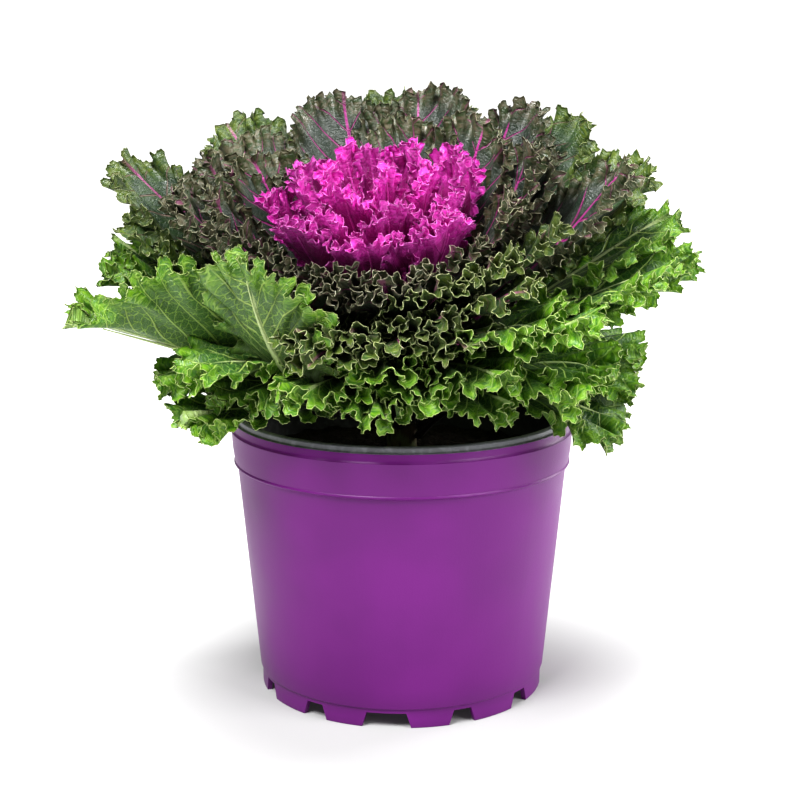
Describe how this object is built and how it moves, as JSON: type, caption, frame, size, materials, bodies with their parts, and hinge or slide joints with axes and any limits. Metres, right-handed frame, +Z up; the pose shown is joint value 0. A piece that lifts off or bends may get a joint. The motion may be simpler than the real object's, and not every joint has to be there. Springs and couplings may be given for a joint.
{
  "type": "ornamental kale plant",
  "caption": "Ornamental kale: a rosette of frilled leaves, green outside, dusky purple within and magenta in the heart, growing in a plain plastic pot filled with potting mix.",
  "frame": {"origin": "on the ground, under the middle of the plant's spread; the pot's axis stands 5.1 mm to +X and 9.1 mm to -Y of it", "axes": "+Z up along the pot's axis, -Y towards the plant's front, to which the rosette leans, +X to the right seen from the front"},
  "size_m": [0.3074, 0.2502, 0.2964],
  "materials": {
    "pot_plastic": "satin purple injection-moulded plastic, grey-black on the inside and on the rim's ledge",
    "potting_mix": "rough, moist peat and bark fines",
    "stalk": "matte, pale green to brown, with leaf scars",
    "green_leaf": "satin leaf with a fine waxy bloom, pale veins and cream edges",
    "dusky_leaf": "satin leaf, grey-green to purple-brown, with magenta veins and tan edges",
    "heart_leaf": "satin leaf, magenta, with lighter pink edges"
  },
  "bodies": {
    "root": {"pot": "pot_plastic", "potting_mix": "potting_mix", "stalk": "stalk", "green_leaf_01": "green_leaf", "green_leaf_02": "green_leaf", "green_leaf_03": "green_leaf", "green_leaf_04": "green_leaf", "green_leaf_05": "green_leaf", "green_leaf_06": "green_leaf", "green_leaf_07": "green_leaf", "green_leaf_08": "green_leaf", "green_leaf_09": "green_leaf", "green_leaf_10": "green_leaf", "green_leaf_11": "green_leaf", "green_leaf_12": "green_leaf", "green_leaf_13": "green_leaf", "green_leaf_14": "green_leaf", "green_leaf_15": "green_leaf", "green_leaf_16": "green_leaf", "green_leaf_17": "green_leaf", "green_leaf_18": "green_leaf", "green_leaf_19": "green_leaf", "green_leaf_20": "green_leaf", "green_leaf_21": "green_leaf", "green_leaf_22": "green_leaf", "green_leaf_23": "green_leaf", "green_leaf_24": "green_leaf", "dusky_leaf_01": "dusky_leaf", "dusky_leaf_02": "dusky_leaf", "dusky_leaf_03": "dusky_leaf", "dusky_leaf_04": "dusky_leaf", "dusky_leaf_05": "dusky_leaf", "dusky_leaf_06": "dusky_leaf", "dusky_leaf_07": "dusky_leaf", "dusky_leaf_08": "dusky_leaf", "dusky_leaf_09": "dusky_leaf", "dusky_leaf_10": "dusky_leaf", "dusky_leaf_11": "dusky_leaf", "dusky_leaf_12": "dusky_leaf", "dusky_leaf_13": "dusky_leaf", "dusky_leaf_14": "dusky_leaf", "dusky_leaf_15": "dusky_leaf", "dusky_leaf_16": "dusky_leaf", "heart_leaf_01": "heart_leaf", "heart_leaf_02": "heart_leaf", "heart_leaf_03": "heart_leaf", "heart_leaf_04": "heart_leaf", "heart_leaf_05": "heart_leaf", "heart_leaf_06": "heart_leaf", "heart_leaf_07": "heart_leaf", "heart_leaf_08": "heart_leaf", "heart_leaf_09": "heart_leaf", "heart_leaf_10": "heart_leaf", "heart_leaf_11": "heart_leaf", "heart_leaf_12": "heart_leaf", "heart_leaf_13": "heart_leaf", "heart_leaf_14": "heart_leaf", "heart_leaf_15": "heart_leaf", "heart_leaf_16": "heart_leaf", "heart_leaf_17": "heart_leaf"}
  },
  "joints": []
}
